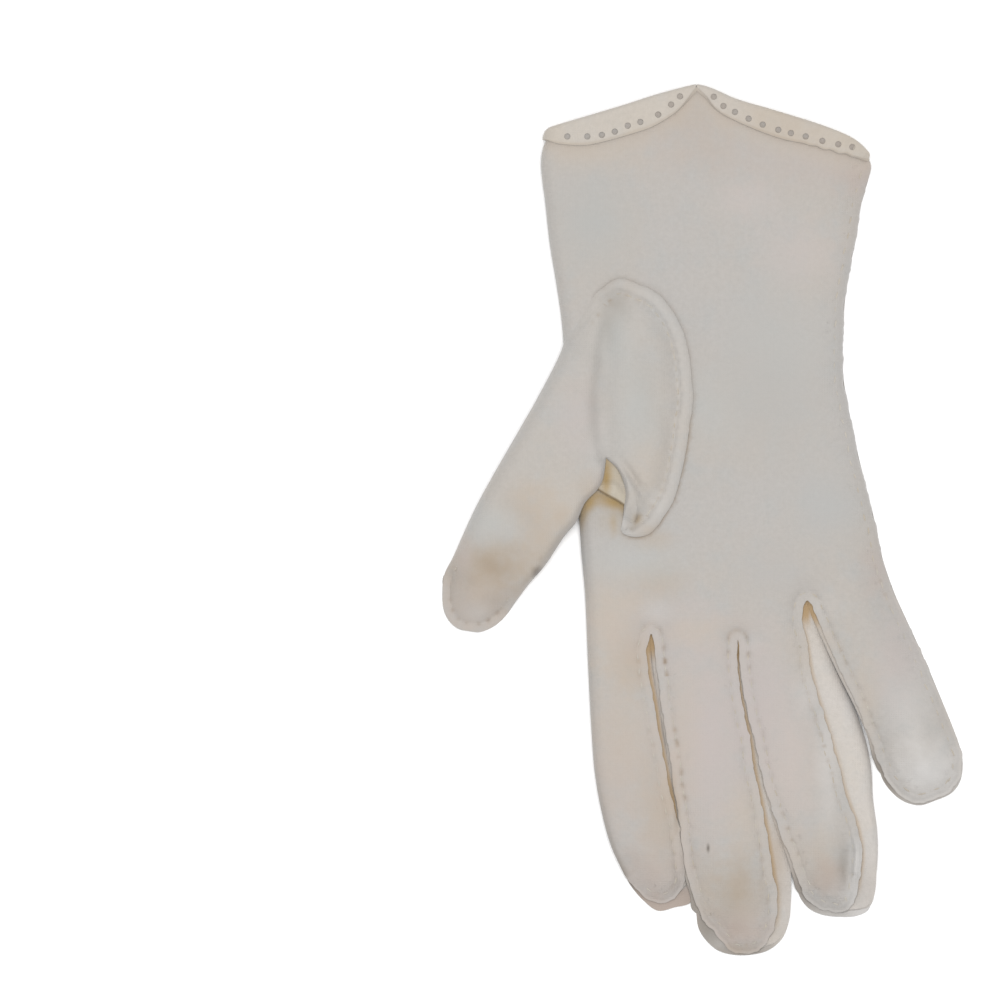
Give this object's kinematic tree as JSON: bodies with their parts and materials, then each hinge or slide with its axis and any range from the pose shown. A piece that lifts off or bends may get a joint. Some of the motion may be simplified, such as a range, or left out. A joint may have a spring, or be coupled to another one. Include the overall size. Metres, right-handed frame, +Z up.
{
  "type": "cotton glove",
  "caption": "Short cotton dress glove for the right hand, lying palm up, with a set-in thumb, fourchettes, outside seams and a scalloped, punched turned-back cuff.",
  "frame": {"origin": "centre of the glove's outline, on the surface that it lies on", "axes": "+Y from the fingertips towards the cuff, +Z up out of the palm, +X towards the little finger"},
  "size_m": [0.1406, 0.235, 0.0154],
  "materials": {
    "palm_cloth": "matt brushed double-woven cotton, ivory, lightly soiled",
    "thumb_cloth": "matt brushed double-woven cotton, ivory, soiled at the tip",
    "fourchette_cloth": "matt brushed double-woven cotton, ivory, a little warmer",
    "cuff_cloth": "matt brushed double-woven cotton, clean ivory, punched"
  },
  "bodies": {
    "root": {"palm_and_back": "palm_cloth", "thumb": "thumb_cloth", "fourchette_index_middle": "fourchette_cloth", "fourchette_middle_ring": "fourchette_cloth", "fourchette_ring_little": "fourchette_cloth", "cuff_flap_thumb_side": "cuff_cloth", "cuff_flap_little_finger_side": "cuff_cloth"}
  },
  "joints": []
}
